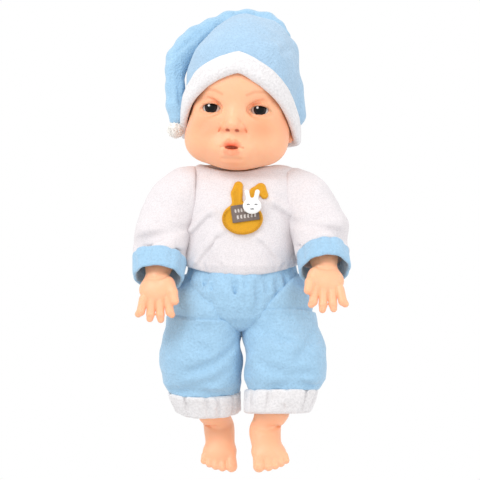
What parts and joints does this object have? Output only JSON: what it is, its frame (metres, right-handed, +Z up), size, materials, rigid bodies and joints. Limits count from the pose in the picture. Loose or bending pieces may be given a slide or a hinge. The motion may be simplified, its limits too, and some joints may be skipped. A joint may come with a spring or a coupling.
{
  "type": "baby doll",
  "caption": "Jointed vinyl baby doll with a belly sound button, stocking cap with pompom and two-tone romper.",
  "frame": {"origin": "middle of the waist, where a hand or a stand holds the doll", "axes": "+X to the doll's left, -Y the way the doll faces, +Z up towards the head"},
  "size_m": [0.1512, 0.1113, 0.3247],
  "materials": {
    "vinyl_skin": "soft rotocast vinyl, skin coloured",
    "eye_white": "gloss",
    "iris": "printed dark brown",
    "eye_lens": "clear acrylic",
    "blue_terry": "short looped terry",
    "white_velour": "brushed velour",
    "pompom_yarn": "cut yarn",
    "body_plastic": "moulded, skin coloured",
    "steel": "plated",
    "board_green": "solder mask",
    "black_plastic": "moulded",
    "silicone": "translucent",
    "button_plastic": "moulded",
    "speaker_paper": "paper cone",
    "magnet": "plated",
    "lead_red": "insulated wire",
    "lead_black": "insulated wire",
    "yellow_felt": "satin-stitched felt",
    "grey_tape": "woven tape",
    "button_white": "painted button",
    "dark_thread": "thread"
  },
  "bodies": {
    "head": {"head_shell": "vinyl_skin", "left_eye_white": "eye_white", "right_eye_white": "eye_white", "left_iris": "iris", "right_iris": "iris", "left_eye_lens": "eye_lens", "right_eye_lens": "eye_lens", "cap_crown": "blue_terry", "cap_brim": "white_velour", "cap_tail": "blue_terry", "cap_pompom": "pompom_yarn"},
    "torso": {"torso_front_shell": "body_plastic", "torso_back_shell": "body_plastic", "torso_screws": "steel", "neck_plug": "body_plastic", "battery_door": "body_plastic", "circuit_board": "board_green", "sound_chip": "black_plastic", "board_parts": "black_plastic", "key_switch": "black_plastic", "board_screws": "steel", "return_dome": "silicone", "speaker_frame": "steel", "speaker_cone": "speaker_paper", "speaker_magnet": "magnet", "battery_box": "black_plastic", "battery_cells": "steel", "battery_contacts": "steel", "door_screw": "steel", "speaker_leads": "lead_red", "battery_leads": "lead_black", "romper_bodice": "white_velour", "neckband": "white_velour", "romper_seat": "blue_terry", "chest_patch": "yellow_felt", "woven_tag": "grey_tape", "back_fastener": "white_velour", "rabbit_button": "button_white", "button_thread": "dark_thread"},
    "sound_button": {"sound_button": "button_plastic"},
    "left_arm": {"left_arm": "vinyl_skin", "left_shoulder_plug": "body_plastic", "left_sleeve": "white_velour", "left_cuff": "blue_terry"},
    "left_leg": {"left_leg": "vinyl_skin", "left_hip_plug": "body_plastic", "left_trouser_leg": "blue_terry", "left_ankle_cuff": "white_velour"},
    "right_arm": {"right_arm": "vinyl_skin", "right_shoulder_plug": "body_plastic", "right_sleeve": "white_velour", "right_cuff": "blue_terry"},
    "right_leg": {"right_leg": "vinyl_skin", "right_hip_plug": "body_plastic", "right_trouser_leg": "blue_terry", "right_ankle_cuff": "white_velour"}
  },
  "joints": [
    {"name": "head_turn", "type": "hinge", "parent": "torso", "child": "head", "pos_m": [0, 0.002, 0.074], "axis": [0, 0, 1], "range_deg": [-45, 45]},
    {"name": "left_shoulder", "type": "hinge", "parent": "torso", "child": "left_arm", "pos_m": [0.034, 0, 0.048], "axis": [-1, 0, 0], "range_deg": [0, 100]},
    {"name": "right_shoulder", "type": "hinge", "parent": "torso", "child": "right_arm", "pos_m": [-0.034, 0, 0.048], "axis": [-1, 0, 0], "range_deg": [0, 100]},
    {"name": "left_hip", "type": "hinge", "parent": "torso", "child": "left_leg", "pos_m": [0.022, -0.001, -0.02], "axis": [-0.7071, 0, 0.7071], "range_deg": [0, 20]},
    {"name": "right_hip", "type": "hinge", "parent": "torso", "child": "right_leg", "pos_m": [-0.022, -0.001, -0.02], "axis": [-0.7071, 0, -0.7071], "range_deg": [0, 25]},
    {"name": "sound_press", "type": "slide", "parent": "torso", "child": "sound_button", "axis": [0, 1, 0], "range_m": [0, 0.002], "stiffness_N_per_m": 400, "springref_m": -0.0005, "deforming": ["return_dome"]}
  ]
}
